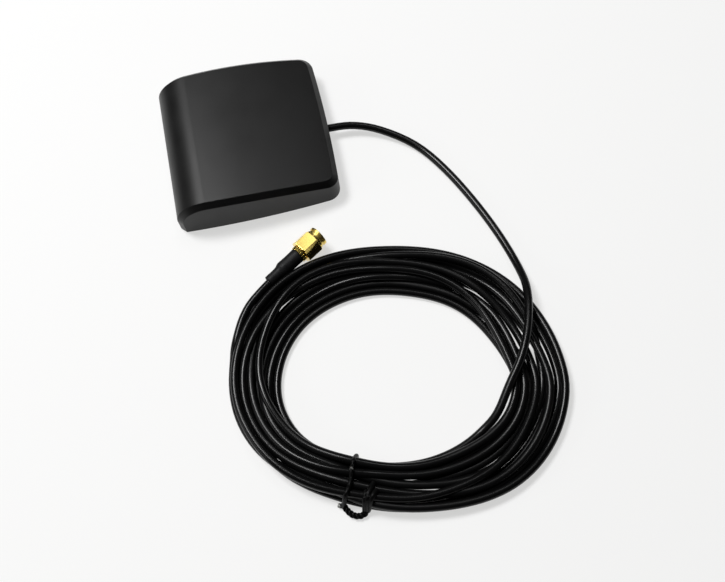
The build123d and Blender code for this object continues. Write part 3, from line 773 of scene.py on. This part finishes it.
def coil_points(settings):
    """Control points of the coil's turns, from the end of the lead clockwise to the start of the tail."""
    first = Vector(LEAD_ROUTE[-1][:2]) - COIL_MIDDLE
    last = Vector(TAIL_ROUTE[0][:2]) - COIL_MIDDLE
    start = math.atan2(first.y, first.x)
    sweep = (start - math.atan2(last.y, last.x)) % TURN + WHOLE_TURNS * TURN
    total = int(sweep / STEP)
    diameter = settings.diameter
    strands, rooms, floors, blocks, angles = [], [], [], [], []
    for n in range(total):
        angle = start - (n + 1) * STEP
        width = ring_radius(COIL_RIM, angle) - ring_radius(COIL_EYE, angle)
        share = turn_lane(n / STATIONS, total / STATIONS)
        free = settings.looseness * min(1.0, max(LEAST_FREE, (width - NARROW) / LOOSENING))
        wander = sum(part * math.sin(pace * n + phase) for pace, phase, part in WANDER)
        tied = bell(angle, *AT_TIE)
        inside = n < total - STATIONS - 2
        low = diameter / 2 + LEAD_ROOM * bell(angle, *OVER_LEAD) * (n > STATIONS / 2)
        high = width - diameter / 2 - SQUEEZE * tied
        high -= inside * sum(depth * bell(angle, middle, half) for middle, half, depth in WAISTS)
        shift = LEAN * math.cos(angle - LEAN_ANGLE) * (high - low) * (n > LANES[1][0] * STATIONS and inside)
        across = low + share * (high - low) + shift + free * wander * (n > STATIONS / 3) * inside
        floors.append(diameter / 2 + TIE_LIFT * bell(angle, *LIFTED))
        strands.append([min(max(across, low), high), floors[n]])
        ending = min(1.0, max(0.0, (n - total + END_STATIONS) / END_FALL_STATIONS))
        rooms.append((low, high, COIL_TOP + TIE_RISE * tied - END_FALL * ending))
        angles.append(angle)
        lead = LEAD_ROUTE[-LEAD_OVER:] * (n > LEAD_STATIONS)
        tail = TAIL_ROUTE * (n < total - TAIL_STATIONS)
        blocks.append(obstacles(angle, diameter, lead, tail))
    lay(strands, rooms, floors, blocks, diameter)
    settle(strands, rooms, floors, blocks, diameter)
    for _ in range(2):
        triples = zip(strands, strands[1:], strands[2:])
        soft = [[(a + 2 * b + c) / 4 for a, b, c in zip(*near)] for near in triples]
        strands = [strands[0], *soft, strands[-1]]
    # The spline cuts inside its control points, which are set out by that much
    outside = 1 / (0.75 + 0.25 * math.cos(STEP))
    points = []
    for (across, height), angle in zip(strands, angles):
        reach = (ring_radius(COIL_EYE, angle) + across) * outside
        x = COIL_MIDDLE.x + reach * math.cos(angle)
        y = COIL_MIDDLE.y + reach * math.sin(angle)
        points.append((x, y, height))
    return points


def shrunk_sleeve(settings):
    """The sleeve, shrunk over the crimped ferrule and the cable, with the crimp's soft flats in it."""
    crimp_middle, crimp_reach, crimp_depth = -0.0052, 0.0034, 0.022
    ripple_depth, ripple_scale = 0.012, 600
    shell = turned(refined(SLEEVE_PROFILE, LONGEST_STRETCH), steps=60)
    for vertex in shell.verts:
        x, y, z = vertex.co
        crimp = max(0.0, 1 - abs(x - crimp_middle) / crimp_reach)
        dent = crimp_depth * crimp * (math.cos(6 * math.atan2(z, y)) - 1) / 2
        ripple = ripple_depth * noise.noise(Vector((x, y, z)) * ripple_scale)
        lip = x < SLEEVE_LIPS[0] or x > SLEEVE_LIPS[1]
        swell = 1 + (dent + min(0.0, ripple - ripple_depth / 3)) * (not lip)
        vertex.co = (x, y * swell, z * swell)
    sleeve = onto_plug("shrunk_sleeve", shell)
    keep(sleeve, "antenna", "sleeve", sleeve_finish(settings), "heat_shrink_sleeve")


class ANTENNA_OT_cable(bpy.types.Operator):
    """Lay the cable through the coil to the plug, and shrink the sleeve on its end"""

    bl_idname = "antenna.cable"
    bl_label = "Cable"

    def execute(self, context):
        settings = context.scene.antenna_cable
        route = [*LEAD_ROUTE, *coil_points(settings), *TAIL_ROUTE]
        cable = wire("cable", [route], settings.diameter, resolution=4, ring=4)
        jacket = cable_jacket(settings)
        keep(cable, "antenna", "cable_jacket", jacket, "cable_lead", "cable_coil", "cable_tail")
        shrunk_sleeve(context.scene.antenna_plug)
        return {"FINISHED"}


class ANTENNA_OT_housing(bpy.types.Operator):
    """Finish the moulded housing"""

    bl_idname = "antenna.housing"
    bl_label = "Housing"

    def execute(self, context):
        plastic = moulded_plastic(context.scene.antenna_housing)
        dress("top_cover", plastic)
        dress("base_plate", plastic)
        rubber = simple_finish("black_rubber", (0.012, 0.012, 0.012), 0.75, spots=0.0004, depth=0.00003)
        dress("cover_seal", rubber)
        dress("cable_grommet", rubber)
        steel = simple_finish("screw_steel", (0.55, 0.55, 0.56), 0.3, 1.0, spots=0.0003, edge=0.0001)
        dress("base_screws", steel)
        nickel = simple_finish("magnet_nickel", (0.66, 0.64, 0.60), 0.22, 1.0, spots=0.0006, edge=0.0002)
        dress("magnet_far", nickel)
        dress("magnet_near", nickel)
        return {"FINISHED"}


class ANTENNA_OT_electronics(bpy.types.Operator):
    """Finish the circuit board, the patch antenna and the amplifier"""

    bl_idname = "antenna.electronics"
    bl_label = "Electronics"

    def execute(self, context):
        finishes = {
            "circuit_board": board_finish(),
            "patch_pad": simple_finish("adhesive_pad", (0.55, 0.53, 0.48), 0.9, spots=0.0003, depth=0.00003),
            "patch_ceramic": simple_finish("ceramic", (0.52, 0.45, 0.36), 0.6, spots=0.0003, depth=0.00002),
            "patch_electrode": simple_finish("fired_silver", (0.78, 0.77, 0.74), 0.42, 1.0, spots=0.0002),
            "shield_can": simple_finish(
                "tinned_sheet", (0.72, 0.72, 0.70), 0.32, 1.0, spots=0.0006, edge=0.0002
            ),
            "amplifier_chip": simple_finish("chip_resin", (0.02, 0.02, 0.021), 0.5, spots=0.0001),
            "filter_chip": simple_finish("chip_lid", (0.62, 0.60, 0.55), 0.35, 1.0, spots=0.0002),
            "passive_parts": simple_finish("chip_ceramic", (0.30, 0.22, 0.14), 0.5, spots=0.0001),
            "solder_joints": simple_finish(
                "solder", (0.70, 0.70, 0.69), 0.25, 1.0, spots=0.0003, depth=0.00002
            ),
            "feed_pin": simple_finish("tinned_pin", (0.74, 0.73, 0.70), 0.3, 1.0, spots=0.0002),
            "coax_braid": braid_finish(),
            "coax_core": simple_finish("copper_core", (0.83, 0.42, 0.26), 0.28, 1.0, spots=0.0002),
            "coax_dielectric": simple_finish("core_insulation", (0.80, 0.80, 0.77), 0.45, spots=0.0003),
        }
        for node, material in finishes.items():
            dress(node, material)
        dress("tail_dielectric", finishes["coax_dielectric"])
        dress("tail_core", finishes["coax_core"])
        return {"FINISHED"}


class ANTENNA_OT_plug(bpy.types.Operator):
    """Finish the gold plug and cut the thread of its nut"""

    bl_idname = "antenna.plug"
    bl_label = "Plug"

    def execute(self, context):
        settings = context.scene.antenna_plug
        gold = plated_gold(settings)
        for node in ("connector_body", "coupling_nut", "centre_pin", "crimp_ferrule", "nut_retaining_ring"):
            dress(node, gold)
        dress("connector_insulator", simple_finish("white_insulator", (0.82, 0.81, 0.78), 0.4, spots=0.0002))
        dress("nut_gasket", simple_finish("gasket_rubber", (0.03, 0.03, 0.03), 0.6, spots=0.0002))
        thread = turned(THREAD_PROFILE, steps=36, rise=THREAD_PITCH, turns=THREAD_TURNS)
        keep(onto_plug("nut_thread", thread), "plug_nut", "gold", gold)
        return {"FINISHED"}


def tie_loop(settings, context):
    """The tie's loop round the bundle and its arms, laid on the coil's own surface."""
    radius = TIE_THICK * settings.wire / 2
    shapes = context.evaluated_depsgraph_get()
    tree = BVHTree.FromObject(bpy.data.objects["cable"].evaluated_get(shapes), shapes)

    def laid(x, y, lift, size):
        """A point where the wire lies on the coil."""
        tops = []
        for across, along in ((0, 0), (radius, 0), (-radius, 0), (0, radius), (0, -radius)):
            hit = tree.ray_cast(Vector((x + across, y + along, 0.03)), Vector((0, 0, -1)))[0]
            tops.append(hit.z if hit else 0.0)
        return x, y, max(tops) + radius + lift, size

    over = [laid(*place) for place in TIE_OVER]
    arms = [[*free, *(laid(*place) for place in places)] for free, places in TIE_ARMS]
    return over, [*TIE_AROUND, *over, *TIE_DOWN], arms


class ANTENNA_OT_tie(bpy.types.Operator):
    """Tie the coil with a twisted coated wire"""

    bl_idname = "antenna.tie"
    bl_label = "Wire tie"

    def execute(self, context):
        settings = context.scene.antenna_tie
        over, loop, arms = tie_loop(settings, context)
        rope = twisted(TIE_ROPE, ROPE_RADIUS * settings.wire, settings.pitch, strands=3)
        tie = wire("wire_tie", [loop, *rope, *arms], settings.wire, resolution=3, ring=3)
        keep(tie, "antenna", "tie", tie_finish(settings), "twist_tie")

        # Pale steel spots: the bare wire at the loop's end, and on top, where the wire bends, a painted
        # highlight
        spot_routes = []
        for (before, last), size in zip((loop[-2:], over[1:3]), END_AND_HIGHLIGHT_SIZES):
            before, last = Vector(before[:3]), Vector(last[:3])
            ahead = (last - before).normalized()
            spot_routes.append([(*(last + distance * ahead), size) for distance in PALE_SPOT_PLACES])
        pale_spots = wire("bare_end_and_painted_highlight", spot_routes, PALE_SPOT_WIRE * settings.wire, resolution=3, ring=3)
        steel = simple_finish("wire_core_and_painted_highlight", (0.30, 0.30, 0.29), 0.5, 1.0, spots=0.0001, spread=0.3)
        keep(pale_spots, "antenna", "screw_steel", steel)
        return {"FINISHED"}


# Stage


def direct_rays(nodes, links):
    """1 for the camera's rays and for those that a glossy or clear surface sends on."""
    seen = nodes.new("ShaderNodeLightPath")
    value = seen.outputs["Is Camera Ray"]
    for kind in ("Is Glossy Ray", "Is Transmission Ray"):
        either = nodes.new("ShaderNodeMath")
        either.operation = "MAXIMUM"
        links.new(value, either.inputs[0])
        links.new(seen.outputs[kind], either.inputs[1])
        value = either.outputs["Value"]
    return value


def paper(settings):
    """White paper: it keeps the object's shadow and never goes grey to the camera."""
    f = Finish("paper", settings.floor, 0.8)
    fibres = f.speckle(size=0.0006, detail=4.0)
    f.tone(fibres, dark=0.992, light=1.008)
    f.relief(fibres, depth=0.00002, strength=0.2)
    glow = f.node("ShaderNodeEmission", Color=(0.99, 0.99, 0.98, 1), Strength=1.0)
    share = f.node("ShaderNodeMath", operation="MULTIPLY")
    share.inputs[1].default_value = PAPER_GLOW
    f.link(direct_rays(f.tree.nodes, f.tree.links), share.inputs[0])
    mix = f.node("ShaderNodeMixShader")
    f.link(share.outputs[0], mix.inputs["Fac"])
    f.link(f.shader.outputs["BSDF"], mix.inputs[1])
    f.link(glow.outputs["Emission"], mix.inputs[2])
    f.link(mix.outputs["Shader"], f.tree.nodes["Material Output"].inputs["Surface"])
    return f.material


def lamp(name, place, target, size, power):
    """A large soft rectangular light that faces its target."""
    light = bpy.data.lights.new(name, "AREA")
    light.shape = "RECTANGLE"
    light.size, light.size_y = size
    light.energy = power
    made = link_new(name, light)
    made.location = place
    made.rotation_euler = (Vector(target) - Vector(place)).to_track_quat("-Z", "Y").to_euler()
    return made


def studio():
    """A room that is brighter on one side, and white behind the floor."""
    world = bpy.data.worlds.new("studio")
    world.use_nodes = True
    nodes, links = world.node_tree.nodes, world.node_tree.links
    sky = nodes["Background"]
    place = nodes.new("ShaderNodeTexCoord")
    facing = nodes.new("ShaderNodeVectorMath")
    facing.operation = "DOT_PRODUCT"
    facing.inputs[1].default_value = SKY_SIDE
    fall = nodes.new("ShaderNodeMapRange")
    ends = {"From Min": 0.05, "From Max": 0.95, "To Min": SKY_DARK, "To Max": SKY_BRIGHT}
    for name, end in ends.items():
        fall.inputs[name].default_value = end
    links.new(place.outputs["Generated"], facing.inputs[0])
    links.new(facing.outputs["Value"], fall.inputs["Value"])
    links.new(fall.outputs["Result"], sky.inputs["Color"])
    white = nodes.new("ShaderNodeBackground")
    white.inputs["Color"].default_value = (0.96, 0.96, 0.955, 1)
    rays = nodes.new("ShaderNodeLightPath")
    mix = nodes.new("ShaderNodeMixShader")
    links.new(rays.outputs["Is Camera Ray"], mix.inputs["Fac"])
    links.new(sky.outputs["Background"], mix.inputs[1])
    links.new(white.outputs["Background"], mix.inputs[2])
    links.new(mix.outputs["Shader"], nodes["World Output"].inputs["Surface"])
    return world


class ANTENNA_OT_stage(bpy.types.Operator):
    """Set up the floor, the lights and the camera"""

    bl_idname = "antenna.stage"
    bl_label = "Stage"

    def execute(self, context):
        settings = context.scene.antenna_stage
        mesh = bpy.data.meshes.new("floor")
        sheet = bmesh.new()
        bmesh.ops.create_grid(sheet, x_segments=1, y_segments=1, size=3.0)
        sheet.to_mesh(mesh)
        sheet.free()
        floor = link_new("floor", mesh)
        mesh.materials.append(paper(settings))

        right = Vector(CAMERA_RIGHT).normalized()
        up = (Vector(CAMERA_UP) - right * right.dot(Vector(CAMERA_UP))).normalized()
        turn = Matrix((right, up, right.cross(up))).transposed().to_4x4()
        view = bpy.data.cameras.new("camera")
        view.lens = CAMERA_LENS
        view.sensor_width = 36.0
        view.clip_start = 0.01
        camera = link_new("camera", view)
        camera.matrix_world = Matrix.Translation(CAMERA_PLACE) @ turn
        context.scene.camera = camera

        for name, (place, target, size, share) in LAMPS.items():
            lamp(name, place, target, size, settings.key * share)
        context.scene.world = studio()
        context.scene.view_settings.view_transform = "Standard"
        return {"FINISHED"}


STEPS = (
    ANTENNA_OT_stage, ANTENNA_OT_cable, ANTENNA_OT_housing, ANTENNA_OT_electronics, ANTENNA_OT_plug,
    ANTENNA_OT_tie,
)
GROUPS = {
    "antenna_cable": CableSettings,
    "antenna_housing": HousingSettings,
    "antenna_plug": PlugSettings,
    "antenna_tie": TieSettings,
    "antenna_stage": StageSettings,
}


class ANTENNA_PT_sidebar(bpy.types.Panel):
    """Lists the antenna's settings and steps"""

    bl_idname = "ANTENNA_PT_sidebar"
    bl_label = "GPS Antenna"
    bl_space_type = "VIEW_3D"
    bl_region_type = "UI"
    bl_category = "Antenna"

    def draw(self, context):
        for name, group in GROUPS.items():
            box = self.layout.box()
            for key in group.__annotations__:
                box.prop(getattr(context.scene, name), key)
        for step in STEPS:
            self.layout.operator(step.bl_idname)


def register():
    for group in GROUPS.values():
        bpy.utils.register_class(group)
    for step in STEPS:
        bpy.utils.register_class(step)
    bpy.utils.register_class(ANTENNA_PT_sidebar)
    for name, group in GROUPS.items():
        setattr(bpy.types.Scene, name, bpy.props.PointerProperty(type=group))


def unregister():
    for name in GROUPS:
        delattr(bpy.types.Scene, name)
    bpy.utils.unregister_class(ANTENNA_PT_sidebar)
    for step in reversed(STEPS):
        bpy.utils.unregister_class(step)
    for group in reversed(GROUPS.values()):
        bpy.utils.unregister_class(group)


def main():
    register()
    bpy.ops.antenna.stage()
    bpy.ops.antenna.cable()
    bpy.ops.antenna.housing()
    bpy.ops.antenna.electronics()
    bpy.ops.antenna.plug()
    bpy.ops.antenna.tie()


if __name__ == "__main__":
    main()
